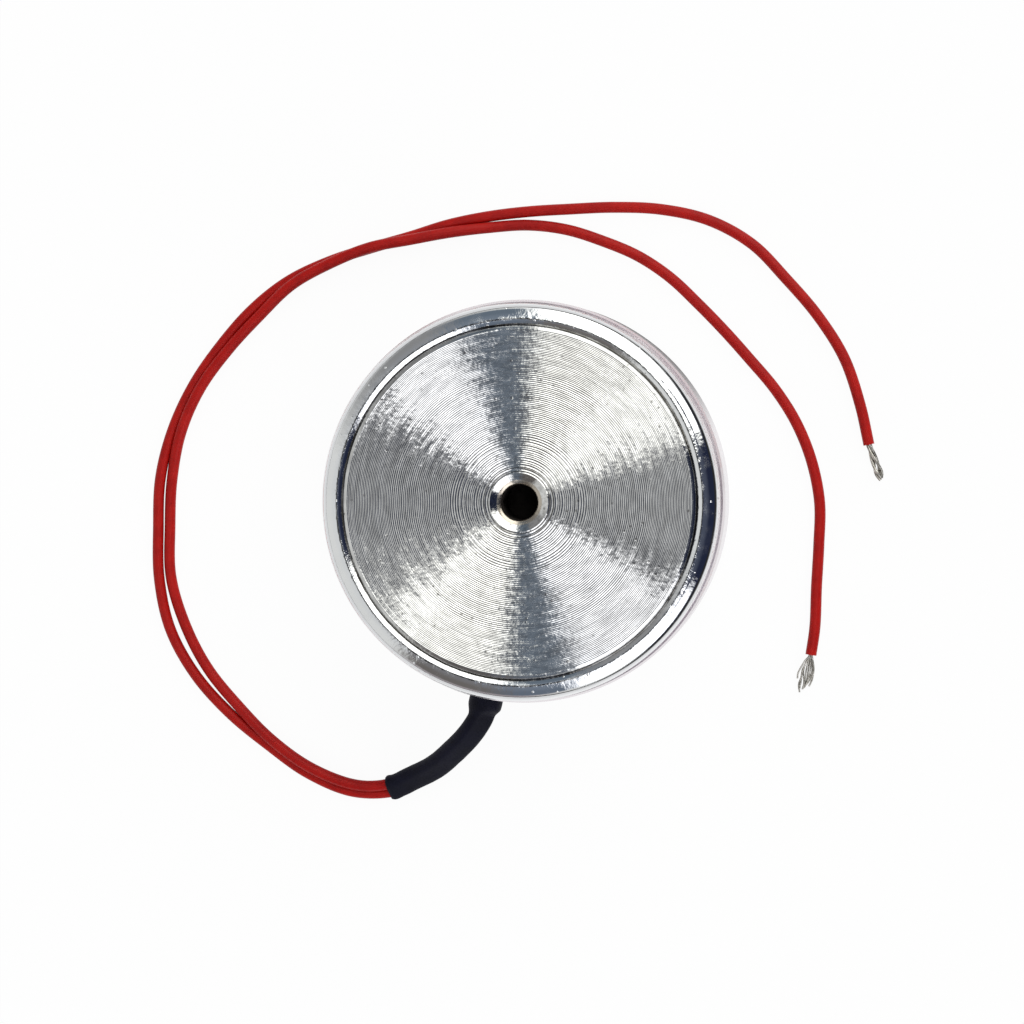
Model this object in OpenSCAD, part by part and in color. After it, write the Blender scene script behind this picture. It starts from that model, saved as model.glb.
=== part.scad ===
// Holding electromagnet: a round steel pot with a potted winding and two loose leads.
// Millimetres. The origin is the middle of the pole face, which lies on the table, and +Z points to the rear.

/* [Shell] */
// Outside diameter of the shell below its step
body_d = 50; // [48:0.5:61]
// Height from the pole face to the mounting face
body_h = 21; // [19:0.5:30]
// Thickness of the shell's wall above the step
shell_wall = 3.3; // [3:0.1:3.8]
// How far the wall stands out below the step round the shell
step_out = 0.5; // [0.3:0.05:0.8]
// Depth of that step below the mounting face
step_drop = 7; // [5:0.5:8]
// Bevel on the edge of that step
step_bevel = 0.15; // [0.1:0.05:0.25]
// Width of the shoulder in the shell that the base seats on
seat_w = 0.58; // [0.4:0.02:0.8]
// Radius of the round on the rear rim
rim_round = 2; // [1.2:0.1:2.5]
// How far the crest of the rim lies below the mounting face
rim_drop = 0.15; // [0:0.05:0.4]
// Depth of the bevel that falls from the crest to the seam
seam_depth = 0.5; // [0.2:0.05:0.8]
// Bevel on the outer edge of the pole face
front_bevel = 0.5; // [0.2:0.1:1]

/* [Base and core] */
// Thickness of the base plate
base_t = 4.5; // [3.5:0.1:6]
// Radial clearance between the base and the shell
base_fit = 0.02; // [0.01:0.01:0.05]
// Radius of the round on the edge of the mounting face
base_round = 0.55; // [0.2:0.05:1]
// Diameter of the centre pole
core_d = 22; // [18:0.5:24]

/* [Mounting hole] */
// Diameter of the tapped hole's wall (M5)
hole_d = 4.3; // [3.3:0.1:5]
// Depth of the full hole from the mounting face
hole_depth = 10; // [7:0.5:14]
// Point angle of the drill that made the hole
drill_angle = 118; // [90:1:140]
// Diameter of the countersink at the mounting face
sink_d = 7.2; // [6.5:0.1:9]
// Depth of the countersink's outer, flatter cone
sink_depth = 0.45; // [0.3:0.05:1]
// Diameter where the countersink meets the run-in to the thread
run_in_d = 5.6; // [5.2:0.1:6]
// Depth of the run-in below the countersink
run_in_depth = 1; // [0.6:0.1:1.4]

/* [Winding] */
// Thickness of the resin in the gap at the pole face
potting_t = 2; // [1:0.1:3]
// How far the resin lies behind the pole face
potting_recess = 0.2; // [0:0.05:0.5]
// Wall of the bobbin's tube
bobbin_wall = 0.8; // [0.5:0.1:1.2]
// Thickness of the bobbin's flanges
flange_t = 1; // [0.6:0.1:1.5]
// Radial clearance of the bobbin on the core and in the shell
bobbin_fit = 0.05; // [0.02:0.01:0.1]
// Room between the taped winding and the shell's bore, for the ends of the leads
lead_room = 2.35; // [2:0.05:4]
// Clearance between the winding, the bobbin and the tape
coil_fit = 0.05; // [0.02:0.01:0.1]
// Thickness of the tape round the winding
tape_t = 0.2; // [0.1:0.05:0.3]

/* [Leads] */
// Outside diameter of a lead's insulation
lead_d = 1.4; // [1.2:0.05:1.5]
// Clearance between the two leads, and between a lead and its sleeve
lead_fit = 0.05; // [0.03:0.01:0.08]
// Wall of the sleeve over both leads
sleeve_wall = 0.25; // [0.2:0.05:0.3]
// Outside diameter of the sleeve where it leaves the shell unshrunk
sleeve_root_d = 4.2; // [4:0.1:5]
// Radial clearance of the sleeve in the cable hole
exit_fit = 0.05; // [0.02:0.01:0.1]
// Direction of the cable hole, in degrees from +X towards +Y
exit_azimuth = 258.5; // [250:0.5:266]
// Height of the cable hole's axis above the pole face
exit_z = 10; // [9:0.5:11]
// Length of the unshrunk sleeve outside the shell
root_length = 1.3; // [1:0.1:2]
// Length of the sleeve inside the shell's bore
sleeve_inside = 0.5; // [0.3:0.1:0.8]
// Length of lead inside the bore, past the sleeve
lead_inside = 0.5; // [0.3:0.1:0.8]
// Diameter of a solder joint
joint_d = 0.7; // [0.5:0.05:0.9]
// Length of the first lead's bare strands
strand_1_length = 4.9; // [4:0.1:7]
// Length of the second lead's bare strands
strand_2_length = 4.6; // [4:0.1:7]
// Diameter of the bundle of strands where it leaves the insulation
bundle_d = 0.66; // [0.5:0.02:0.8]
// How much wider the bundle is at its tip
bundle_splay = 1.6; // [1:0.1:1.8]

/* [Hidden] */
$fn = 96;
// Cuts run this far past the faces that they open
past = 1;

// Radii and heights of the steel body
body_r = body_d / 2;
neck_r = body_r - step_out;
bore_r = neck_r - shell_wall;
seat_r = bore_r + seat_w;
base_r = seat_r - base_fit;
core_r = core_d / 2;
seat_z = body_h - base_t;
step_z = body_h - step_drop;
crest_z = body_h - rim_drop;

// Radii and heights of the winding
tube_in_r = core_r + bobbin_fit;
tube_out_r = tube_in_r + bobbin_wall;
flange_r = bore_r - bobbin_fit;
tape_out_r = bore_r - lead_room;
tape_in_r = tape_out_r - tape_t;
coil_out_r = tape_in_r - coil_fit;
coil_in_r = tube_out_r + coil_fit;
coil_low_z = potting_t + flange_t + coil_fit;
coil_high_z = seat_z - flange_t - coil_fit;

// The cable hole and the pair of leads in the sleeve
exit_r = sleeve_root_d / 2 + exit_fit;
lead_r = lead_d / 2;
pair_lean = -38;
half_pitch = (lead_d + lead_fit) / 2;
shrunk_in_r = lead_r + lead_fit;
sleeve_sides = 24;
lead_sides = 8;
joint_window_fit = 0.1;
strand_count = 6;
strand_sides = 12;
strand_twist = -200;
strand_slices = 8;

// A point on the axis of the cable hole, at a distance from the body's axis
function on_exit(r) = [r * cos(exit_azimuth), r * sin(exit_azimuth), exit_z];

// Middle line of the sleeve: straight out of the shell, then down to the table
sleeve_path = [
    on_exit(bore_r - sleeve_inside),
    on_exit(body_r + root_length),
    [-5.9, -27.4, 9.7],
    [-7.4, -29.5, 8.7],
    [-9.5, -31.6, 6.8],
    [-11.9, -33.6, 4.6],
    [-14.9, -35.2, 2.6],
    [-18.1, -36.6, 1.5]
];
// Number of stations of the sleeve that keep the unshrunk round section
root_stations = 2;

// First lead on the table, from the sleeve to the end of its insulation; it rides over the second one
lead_1_points = [
    [-22.4, -36.2, 1.75], [-28, -34.1, 1.85], [-33, -30.6, 1.8], [-37.4, -26.3, 1.1],
    [-41.4, -21.5, 0.7], [-44.3, -15.9, 0.7], [-46.1, -9.8, 0.7], [-46.2, -3.5, 0.7],
    [-45.9, 2.7, 0.7], [-44.6, 8.7, 1.45], [-42.1, 14.2, 1.65], [-38.5, 19.1, 1.5],
    [-34.5, 23.4, 1.4], [-30.4, 27.2, 1.95], [-25.5, 29.9, 2.15], [-20.4, 31.9, 2.2],
    [-15.2, 32.9, 2.1], [-10.2, 33.8, 1.75], [-5.3, 34.4, 1], [-0.4, 34.7, 0.7],
    [4.5, 34.1, 0.7], [9.2, 32.6, 0.7], [13.6, 30.7, 0.7], [17.6, 28, 0.7],
    [21.1, 24.7, 0.7], [24.4, 21.3, 0.7], [27.6, 17.7, 0.7], [30.8, 13.9, 0.7],
    [33.5, 9.6, 0.7], [35.4, 4.8, 0.7], [36.4, -0.4, 0.7], [36.3, -5.7, 0.7],
    [36, -11.1, 0.7], [35.8, -16.1, 0.7], [35.3, -19.6, 0.7]
];
// Second lead on the table, from the sleeve to the end of its insulation
lead_2_points = [
    [-22.9, -37.1, 0.8], [-28.6, -34.8, 0.7], [-33.7, -31.2, 0.7], [-38.6, -27.2, 0.7],
    [-43, -22.3, 0.7], [-46.2, -16.5, 0.7], [-47.6, -10.1, 0.7], [-47.7, -3.6, 0.7],
    [-47.4, 2.8, 0.7], [-45.8, 8.9, 0.7], [-43.1, 14.6, 0.7], [-39.6, 19.6, 0.7],
    [-35.6, 24.1, 0.7], [-31, 27.7, 0.7], [-25.7, 30.2, 0.7], [-20.4, 31.9, 0.7],
    [-15.4, 33.3, 0.7], [-10.5, 34.8, 0.7], [-5.5, 35.8, 0.7], [-0.4, 36.4, 0.7],
    [4.9, 36.7, 0.7], [10.5, 36.9, 0.7], [16.5, 36.6, 0.7], [22.5, 35.2, 0.7],
    [27.9, 32.2, 0.7], [32.2, 27.8, 0.7], [36.2, 23.1, 0.7], [39.5, 17.8, 0.7],
    [41.5, 11.9, 0.7], [42.6, 6.9, 0.7]
];

// Directions at a point of a route: along it, level across it, and up from it
function unit(v) = v / norm(v);
function along(route, i) = unit(route[min(i + 1, len(route) - 1)] - route[max(i - 1, 0)]);
function across(route, i) = unit(cross([0, 0, 1], along(route, i)));
function upward(route, i) = cross(along(route, i), across(route, i));
function beside(route, i, u, v) = route[i] + u * across(route, i) + v * upward(route, i);

// A ring of points round a route; a stretch above 0 parts its two halves into a flat-sided oval
function ring(route, i, r, sides, stretch = 0) = [
    for (k = [0:sides - 1])
        let (a = (k + 0.5) * 360 / sides)
        let (half = cos(a - pair_lean) > 0 ? stretch : -stretch)
        beside(route, i, r * cos(a) + half * cos(pair_lean), r * sin(a) + half * sin(pair_lean))
];

// Triangles of the wall through a stack of rings, and of a closed or an open end
function wall(rings, sides, first = 0) = [
    for (i = [0:rings - 2])
        for (k = [0:sides - 1])
            let (a = first + i * sides + k)
            let (b = first + i * sides + (k + 1) % sides)
            each [[a, a + sides, b + sides], [a, b + sides, b]]
];
function open_end(outer, inner, sides) = [
    for (k = [0:sides - 1])
        let (next = (k + 1) % sides)
        each [[outer + k, outer + next, inner + next], [outer + k, inner + next, inner + k]]
];
function flipped(faces) = [for (f = faces) [f[2], f[1], f[0]]];

// The whole way of a lead: from its solder joint through the sleeve and on along the table
function in_sleeve(i, way) = beside(
    sleeve_path, i, way * half_pitch * cos(pair_lean), way * half_pitch * sin(pair_lean));
function lead_start(way) = in_sleeve(0, way) - lead_inside * along(sleeve_path, 0);
function lead_route(way, points) = concat(
    [lead_start(way)], [for (i = [0:len(sleeve_path) - 1]) in_sleeve(i, way)], points);

// Outer and inner radius of the sleeve at a station, and how far its two halves are parted there
function is_root(i) = i < root_stations;
function sleeve_in_r(i) = is_root(i) ? sleeve_root_d / 2 - sleeve_wall : shrunk_in_r;
function sleeve_part(i) = is_root(i) ? 0 : half_pitch;

module rounded_edge_cut(r) {
    difference() {
        square(r + past);
        circle(r);
    }
}

// Profile of the shell to the right of its axis
module shell_profile() {
    difference() {
        polygon([
            [bore_r, 0], [body_r - front_bevel, 0], [body_r, front_bevel],
            [body_r, step_z - step_bevel], [body_r - step_bevel, step_z], [neck_r, step_z], [neck_r, crest_z],
            [neck_r - rim_round, crest_z], [seat_r, crest_z - seam_depth], [seat_r, seat_z], [bore_r, seat_z]
        ]);
        translate([neck_r - rim_round, crest_z - rim_round])
            rounded_edge_cut(rim_round);
    }
}

module shell() {
    color("#c4c8ce")
    difference() {
        rotate_extrude()
            shell_profile();
        translate([0, 0, exit_z])
            rotate([0, 90, exit_azimuth])
                translate([0, 0, bore_r - past])
                    cylinder(r = exit_r, h = body_r - bore_r + 2 * past);
    }
}

// Hole for the mounting screw: countersink, run-in, tapped wall and drill point
module mounting_hole() {
    run_in_z = body_h - sink_depth;
    wall_z = run_in_z - run_in_depth;
    floor_z = body_h - hole_depth;
    point_h = hole_d / 2 / tan(drill_angle / 2);
    translate([0, 0, run_in_z])
        cylinder(d1 = run_in_d, d2 = sink_d, h = sink_depth);
    translate([0, 0, wall_z])
        cylinder(d1 = hole_d, d2 = run_in_d, h = run_in_depth);
    translate([0, 0, floor_z])
        cylinder(d = hole_d, h = wall_z - floor_z);
    translate([0, 0, floor_z - point_h])
        cylinder(d1 = 0, d2 = hole_d, h = point_h);
}

// Profile of the base plate and the centre pole to the right of their axis
module core_profile() {
    difference() {
        polygon([
            [0, 0], [core_r, 0], [core_r, seat_z], [base_r, seat_z], [base_r, body_h], [0, body_h]
        ]);
        translate([base_r - base_round, body_h - base_round])
            rounded_edge_cut(base_round);
    }
}

module core_base() {
    color("#d3d6da")
    difference() {
        rotate_extrude()
            core_profile();
        mounting_hole();
    }
}

module bobbin() {
    color("#e8e2d0")
    rotate_extrude()
        polygon([
            [tube_in_r, potting_t], [flange_r, potting_t], [flange_r, potting_t + flange_t],
            [tube_out_r, potting_t + flange_t], [tube_out_r, seat_z - flange_t],
            [flange_r, seat_z - flange_t], [flange_r, seat_z], [tube_in_r, seat_z]
        ]);
}

module band(in_r, out_r, low_z, high_z) {
    rotate_extrude()
        translate([in_r, low_z])
            square([out_r - in_r, high_z - low_z]);
}

module coil() {
    color("#b5632f")
    band(coil_in_r, coil_out_r, coil_low_z, coil_high_z);
}

// Rod along a lead inside the bore, from the winding out to the lead's end
module joint_rod(way, d) {
    start = lead_start(way);
    reach = norm([start[0], start[1]]);
    length = reach - coil_out_r - coil_fit;
    translate(start)
        rotate([0, -90, exit_azimuth])
            cylinder(d = d, h = length);
}

module coil_tape() {
    color("#d9b23a")
    difference() {
        band(tape_in_r, tape_out_r, coil_low_z, coil_high_z);
        for (way = [-1, 1])
            joint_rod(way, joint_d + 2 * joint_window_fit);
    }
}

module potting() {
    color("#26282c")
    band(core_r, bore_r, potting_recess, potting_t);
}

module solder_joint(way) {
    color("#b9bcc0")
    joint_rod(way, joint_d);
}

module lead_sleeve() {
    count = len(sleeve_path);
    outer = [
        for (i = [0:count - 1])
            each ring(sleeve_path, i, sleeve_in_r(i) + sleeve_wall, sleeve_sides, sleeve_part(i))
    ];
    inner = [for (i = [0:count - 1]) each ring(sleeve_path, i, sleeve_in_r(i), sleeve_sides, sleeve_part(i))];
    inner_first = len(outer);
    last = (count - 1) * sleeve_sides;
    color("#1f2126")
    polyhedron(concat(outer, inner), concat(
        wall(count, sleeve_sides),
        flipped(wall(count, sleeve_sides, inner_first)),
        open_end(0, inner_first, sleeve_sides),
        flipped(open_end(last, inner_first + last, sleeve_sides))));
}

module lead(way, points) {
    route = lead_route(way, points);
    count = len(route);
    last = (count - 1) * lead_sides;
    skin = [for (i = [0:count - 1]) each ring(route, i, lead_r, lead_sides)];
    near_end = [for (k = [0:lead_sides - 1]) k];
    far_end = [for (k = [lead_sides - 1:-1:0]) last + k];
    color("#b81f1c")
    polyhedron(skin, concat(wall(count, lead_sides), [near_end, far_end]));
}

// Section of a rope of strands: one in the middle and a ring of them round it
module rope_section(d) {
    circle(d = 2 * d / 3, $fn = strand_sides);
    for (k = [0:strand_count - 1])
        rotate(k * 360 / strand_count)
            translate([d / 3, 0])
                circle(d = d / 3, $fn = strand_sides);
}

// Twisted strands that stand out of the end of a lead's insulation, in line with it
module strands(points, length) {
    end = points[len(points) - 1];
    run = end - points[len(points) - 2];
    color("#c9c4b8")
    translate(end)
        rotate([0, 90, atan2(run[1], run[0])])
            linear_extrude(
                height = length, twist = strand_twist, scale = bundle_splay,
                slices = strand_slices, $fn = strand_sides
            )
                rope_section(bundle_d);
}

shell();
core_base();
bobbin();
coil();
coil_tape();
potting();
solder_joint(-1);  // solder_joint_1
solder_joint(1);  // solder_joint_2
lead_sleeve();
lead(-1, lead_1_points);  // lead_1
lead(1, lead_2_points);  // lead_2
strands(lead_1_points, strand_1_length);  // lead_1_strands
strands(lead_2_points, strand_2_length);  // lead_2_strands
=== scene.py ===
import math
import random

import bpy
from mathutils import Matrix, Vector, noise


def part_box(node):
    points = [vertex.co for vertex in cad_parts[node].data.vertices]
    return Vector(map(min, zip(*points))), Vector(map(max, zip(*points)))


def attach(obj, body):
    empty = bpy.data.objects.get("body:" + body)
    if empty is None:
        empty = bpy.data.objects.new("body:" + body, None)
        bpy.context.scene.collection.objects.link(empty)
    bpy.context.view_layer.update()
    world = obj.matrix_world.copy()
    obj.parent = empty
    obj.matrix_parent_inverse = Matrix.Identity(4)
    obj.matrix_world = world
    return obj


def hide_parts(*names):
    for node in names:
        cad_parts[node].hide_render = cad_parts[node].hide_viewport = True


# A holding electromagnet that lies on a pale table with its turned rear face up.
# Everything is in metres, in the frame of the solids.
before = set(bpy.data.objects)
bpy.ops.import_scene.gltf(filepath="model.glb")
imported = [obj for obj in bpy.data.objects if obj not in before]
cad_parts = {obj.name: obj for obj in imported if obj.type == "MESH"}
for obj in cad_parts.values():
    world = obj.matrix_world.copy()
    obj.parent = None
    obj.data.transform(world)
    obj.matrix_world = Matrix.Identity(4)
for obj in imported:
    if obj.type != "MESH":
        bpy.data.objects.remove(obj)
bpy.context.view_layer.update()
BODY = "root"

# Sizes of the steel body; what the solids show is read from them
SHELL_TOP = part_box("shell")[1]
BODY_R = SHELL_TOP.x
CREST_Z = SHELL_TOP.z
STEP_OUT = 0.0005
NECK_R = BODY_R - STEP_OUT
BASE_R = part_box("core_base")[1].x
BODY_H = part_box("core_base")[1].z
BORE_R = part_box("potting")[1].x
POTTING_LOW_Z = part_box("potting")[0].z
POTTING_HIGH_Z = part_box("potting")[1].z
SEAT_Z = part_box("bobbin")[1].z
SEAT_R = BASE_R + 0.00002
CORE_R = 0.011
BASE_ROUND = 0.00055
RIM_ROUND = 0.002
CREST_ROUND = 0.0006
SEAM_DEPTH = 0.00036
FRONT_BEVEL = 0.0005
STEP_Z = BODY_H - 0.007
STEP_LEDGE = 0.0002
STEP_SLANT = 0.0006
NECK_MARGIN = 0.0002
CORE_BEVEL = 0.0002
POTTING_SINK = 0.0001
CORE_SEGMENTS = 192
SHELL_SEGMENTS = 288
POTTING_SEGMENTS = 160
SHELL_SHARP = 24

# Mounting hole with its M5 thread
HOLE_R = 0.00215
HOLE_DEPTH = 0.010
DRILL_HALF_ANGLE = math.radians(59)
SINK_R = 0.0036
SINK_DEPTH = 0.00045
SINK_ROWS = (0.1, 0.5, 0.95)
RUN_IN_R = 0.0028
RUN_IN_DEPTH = 0.001
RUN_IN_END_R = 0.00222
RUN_IN_ROUND = 0.0005
RUN_IN_START = math.radians(15)
RUN_IN_ROWS = 10
THREAD_PITCH = 0.0008
THREAD_DEPTH = 0.00036
THREAD_STEPS = 8
THREAD_START = 0.4

# Turning marks on the rear face: inner radius, pitch and share by which the pitch varies in each zone
# from the edge inwards, the slopes of the flanks that face in and out, and how much their depth varies;
# two dark rings of painted shade, standing for deep narrow grooves, lie round the countersink
MARK_ZONES = ((0.0159, 0.00019, 0.15), (0.0085, 0.00023, 0.12), (0.00366, 0.00027, 0.45))
MARK_IN = math.tan(math.radians(17))
MARK_OUT = math.tan(math.radians(20))
MARK_SCATTER = 0.08
MARK_SHARP = 25
MARK_SEED = 3
DARK_RINGS = (0.00427, 0.00382)

# Cable exit and the pair of leads in their sleeve
EXIT_AZIMUTH = math.radians(258.5)
EXIT_Z = 0.010
EXIT_R = 0.00215
ROOT_LENGTH = 0.0013
SLEEVE_INSIDE = 0.0005
LEAD_INSIDE = 0.0005
LEAD_R = 0.0007
LEAD_FIT = 0.00005
LEAD_SIDES = 20
LEAD_STEP = 0.0005
SLEEVE_WALL = 0.00025
SLEEVE_ROOT_R = 0.0021
SLEEVE_SIDES = 48
SLEEVE_STEP = 0.00025
ROOT_FADE = (0.0011, 0.0019)
FADE_AHEAD = 0.0003
OVAL_SIDE = 0.4
OVAL_WAIST = 0.05
LUMP_SCALE = 900
LUMP_HEIGHT = 0.00002
LIP_SWELL = 0.00008
LIP_ROUND = 0.0001
PAIR_LEAN = math.radians(-38)
HALF_PITCH = LEAD_R + LEAD_FIT / 2
SHRUNK_R = LEAD_R + LEAD_FIT + SLEEVE_WALL
STRAND_R = 0.00011
STRAND_START = -0.0004
SOFT_SHARP = 60

# Loosened strands of lead 1: how far each reaches, and its offset to the right at equal steps on the way
FAN_STRANDS = (
    (0.0032, (-0.00022, -0.00062, -0.00088, -0.00112, -0.00130, -0.00127)),
    (0.0049, (-0.00020, -0.00050, -0.00080, -0.00083, -0.00100, -0.00076)),
    (0.0045, (-0.00016, -0.00045, -0.00072, -0.00080, -0.00078, -0.00084)),
    (0.0045, (-0.00020, -0.00050, -0.00064, -0.00055, -0.00038, -0.00047)),
    (0.0044, (-0.00010, -0.00022, -0.00031, -0.00031, -0.00031, -0.00040)),
    (0.0043, (0.00000, -0.00006, -0.00006, -0.00007, -0.00010, -0.00029)),
    (0.0042, (0.00004, 0.00010, 0.00018, 0.00014, 0.00000, -0.00024)),
    (0.0041, (0.00006, 0.00024, 0.00041, 0.00036, 0.00010, -0.00020)),
    (0.0038, (0.00020, 0.00040, 0.00058, 0.00060, 0.00040, -0.00003)),
    (0.0040, (0.00015, 0.00042, 0.00060, 0.00062, 0.00055, 0.00030)),
)
FAN_START = 0.0002
FAN_ROOT = 0.6
FAN_LIFT = 0.00016
FAN_DROP = 0.0004
FAN_STEP = 0.0002
FAN_SIDES = 8
FAN_SEED = 5

# Twisted strands of lead 2: count, radius, turn over their length, lean to the right, and radius of the
# lay at their root, where they bow apart and at the tip
ROPE_STRANDS = 4
ROPE_STRAND_R = 0.00018
ROPE_LENGTH = 0.0047
ROPE_TURN = math.radians(-200)
ROPE_LEAN = 0.12
ROPE_R = (0.0002, 0.00042, 0.00014)
ROPE_WIDE = 0.78
ROPE_DROP = 0.00022
ROPE_STEPS = 24
ROPE_SIDES = 10
ROPE_SEED = 8

# Camera: its tilt, its distance, the point in the middle of the picture and the width seen there
CAMERA_TILT_X = math.radians(4.64)
CAMERA_TILT_Y = math.radians(1.19)
CAMERA_BACK = Vector((math.tan(CAMERA_TILT_X), math.tan(CAMERA_TILT_Y), 1)).normalized()
CAMERA_DISTANCE = 0.6
CAMERA_AIM = Vector((-0.000845, -0.001164, BODY_H))
PICTURE_WIDTH = 0.12544
SENSOR_MM = 36

# Studio: level of the brighter softbox, and the walls as (azimuth in degrees, share of that level); it is
# centred on the direction that the flat face mirrors, where a dark spot lies, differs near the table and
# fades a little into a grey ceiling; the dark gap between the softboxes is wider at some angles from there
STUDIO_MIDDLE = Vector((-CAMERA_BACK.x, -CAMERA_BACK.y, CAMERA_BACK.z))
KEY_LEVEL = 2.5
NAVY = (0.007, 0.009, 0.019)
WARM_BOX = (1.0, 1.0, 0.95)
COOL_BOX = (0.96, 0.965, 0.985)
MOSS = (0.055, 0.069, 0.085)
ASH = (0.11, 0.11, 0.11)
PALE = (0.305, 0.307, 0.30)
UMBER = (0.064, 0.059, 0.056)
SLATE = (0.056, 0.068, 0.086)
MAUVE = (0.15, 0.135, 0.14)
DUSK = (0.45, 0.45, 0.45)
HIGH_WALLS = (
    (0, NAVY), (18, NAVY), (24, WARM_BOX), (80, WARM_BOX), (89, MOSS), (106, MOSS), (118, ASH), (138, ASH),
    (166, PALE), (228, PALE), (237, UMBER), (260, UMBER), (270, SLATE), (284, SLATE), (293, COOL_BOX),
    (329, COOL_BOX), (336, NAVY), (360, NAVY))
LOW_WALLS = (
    (0, NAVY), (32, NAVY), (48, DUSK), (72, WARM_BOX), (84, DUSK), (92, PALE), (120, ASH), (160, PALE),
    (226, PALE), (240, MAUVE), (270, MAUVE), (286, PALE), (300, PALE), (313, NAVY), (360, NAVY))
LOW_Z = (0.08, 0.3)
GAP_FROM_Y = (-0.33, -0.30)
GAP_TO_Y = (0.31, 0.37)
GAP_COS = 0.838
GAP_DEEP = (0.04, 0.06)
CEILING = (0.17, 0.19, 0.23)
CEILING_Z = (0.6, 0.96)
CEILING_SHARE = 0.13
HORIZON_Z = (-0.04, 0.01)
SPOT_COS = (math.cos(math.radians(10)), math.cos(math.radians(6)))
SPOT_SHARE = 0.1
FLOOR_R = 1.5
FLOOR_DROP = 0.00003

# White sheet on the table, as mirrored in the steel: its middle, where it fades into the dark table, a
# painted pool of light that makes it brighter near the body, and a painted shadow at the body's foot on the
# +y side
SHEET_X = -0.25
SHEET_EDGE_R = (0.30, 0.34)
SHEET_NEAR_R = (0.042, 0.08)
SHEET_FAR = 0.80
SHEET_BEYOND = 0.03
SHEET_SHADOW = 0.12
FOOT_REACH = 0.009
FOOT_SHADE = 0.85
FOOT_Y = (0.008, 0.018)
PAGE_SHARE = 0.95


def on_exit(r):
    """Point on the axis of the cable hole, at a distance from the body's axis."""
    return Vector((r * math.cos(EXIT_AZIMUTH), r * math.sin(EXIT_AZIMUTH), EXIT_Z))


# Routes of the sleeve and of the two leads, from the cable hole outwards
SLEEVE_PATH = [
    on_exit(BORE_R - SLEEVE_INSIDE),
    on_exit(BODY_R + ROOT_LENGTH),
    Vector((-0.0059, -0.0274, 0.0097)),
    Vector((-0.0074, -0.0295, 0.0087)),
    Vector((-0.0095, -0.0316, 0.0068)),
    Vector((-0.0119, -0.0336, 0.0046)),
    Vector((-0.0149, -0.0352, 0.0026)),
    Vector((-0.0181, -0.0366, 0.0015)),
]
SLEEVE_ONWARD = Vector((-0.0227, -0.0367, 0.0013))
LEAD_1_POINTS = [
    (-0.0224, -0.0362, 0.00175), (-0.0280, -0.0341, 0.00185), (-0.0330, -0.0306, 0.0018),
    (-0.0374, -0.0263, 0.0011), (-0.0414, -0.0215, 0.0007), (-0.0443, -0.0159, 0.0007),
    (-0.0461, -0.0098, 0.0007), (-0.0462, -0.0035, 0.0007), (-0.0459, 0.0027, 0.0007),
    (-0.0446, 0.0087, 0.00145), (-0.0421, 0.0142, 0.00165), (-0.0385, 0.0191, 0.0015),
    (-0.0345, 0.0234, 0.0014), (-0.0304, 0.0272, 0.00195), (-0.0255, 0.0299, 0.00215),
    (-0.0204, 0.0319, 0.0022), (-0.0152, 0.0329, 0.0021), (-0.0102, 0.0338, 0.00175),
    (-0.0053, 0.0344, 0.0010), (-0.0004, 0.0347, 0.0007), (0.0045, 0.0341, 0.0007),
    (0.0092, 0.0326, 0.0007), (0.0136, 0.0307, 0.0007), (0.0176, 0.0280, 0.0007),
    (0.0211, 0.0247, 0.0007), (0.0244, 0.0213, 0.0007), (0.0276, 0.0177, 0.0007),
    (0.0308, 0.0139, 0.0007), (0.0335, 0.0096, 0.0007), (0.0354, 0.0048, 0.0007),
    (0.0364, -0.0004, 0.0007), (0.0363, -0.0057, 0.0007), (0.0360, -0.0111, 0.0007),
    (0.0358, -0.0161, 0.0007), (0.0353, -0.0196, 0.0007),
]
LEAD_2_POINTS = [
    (-0.0229, -0.0371, 0.0008), (-0.0286, -0.0348, 0.0007), (-0.0337, -0.0312, 0.0007),
    (-0.0386, -0.0272, 0.0007), (-0.0430, -0.0223, 0.0007), (-0.0462, -0.0165, 0.0007),
    (-0.0476, -0.0101, 0.0007), (-0.0477, -0.0036, 0.0007), (-0.0474, 0.0028, 0.0007),
    (-0.0458, 0.0089, 0.0007), (-0.0431, 0.0146, 0.0007), (-0.0396, 0.0196, 0.0007),
    (-0.0356, 0.0241, 0.0007), (-0.0310, 0.0277, 0.0007), (-0.0257, 0.0302, 0.0007),
    (-0.0204, 0.0319, 0.0007), (-0.0154, 0.0333, 0.0007), (-0.0105, 0.0348, 0.0007),
    (-0.0055, 0.0358, 0.0007), (-0.0004, 0.0364, 0.0007), (0.0049, 0.0367, 0.0007),
    (0.0105, 0.0369, 0.0007), (0.0165, 0.0366, 0.0007), (0.0225, 0.0352, 0.0007),
    (0.0279, 0.0322, 0.0007), (0.0322, 0.0278, 0.0007), (0.0362, 0.0231, 0.0007),
    (0.0395, 0.0178, 0.0007), (0.0415, 0.0119, 0.0007), (0.0426, 0.0069, 0.0007),
]


# Camera

def make_camera():
    """Camera almost straight above the face, leaning a little to the right."""
    right = (Vector((1, 0, 0)) - CAMERA_BACK * CAMERA_BACK.x).normalized()
    up = CAMERA_BACK.cross(right)
    data = bpy.data.cameras.new("camera")
    data.sensor_width = SENSOR_MM
    data.lens = SENSOR_MM * CAMERA_DISTANCE / PICTURE_WIDTH
    data.clip_end = 20
    camera = bpy.data.objects.new("camera", data)
    place = CAMERA_AIM + CAMERA_DISTANCE * CAMERA_BACK
    turn = Matrix((right, up, CAMERA_BACK)).transposed().to_4x4()
    camera.matrix_world = Matrix.Translation(place) @ turn
    bpy.context.collection.objects.link(camera)
    bpy.context.scene.camera = camera


# Routes and meshes

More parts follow.
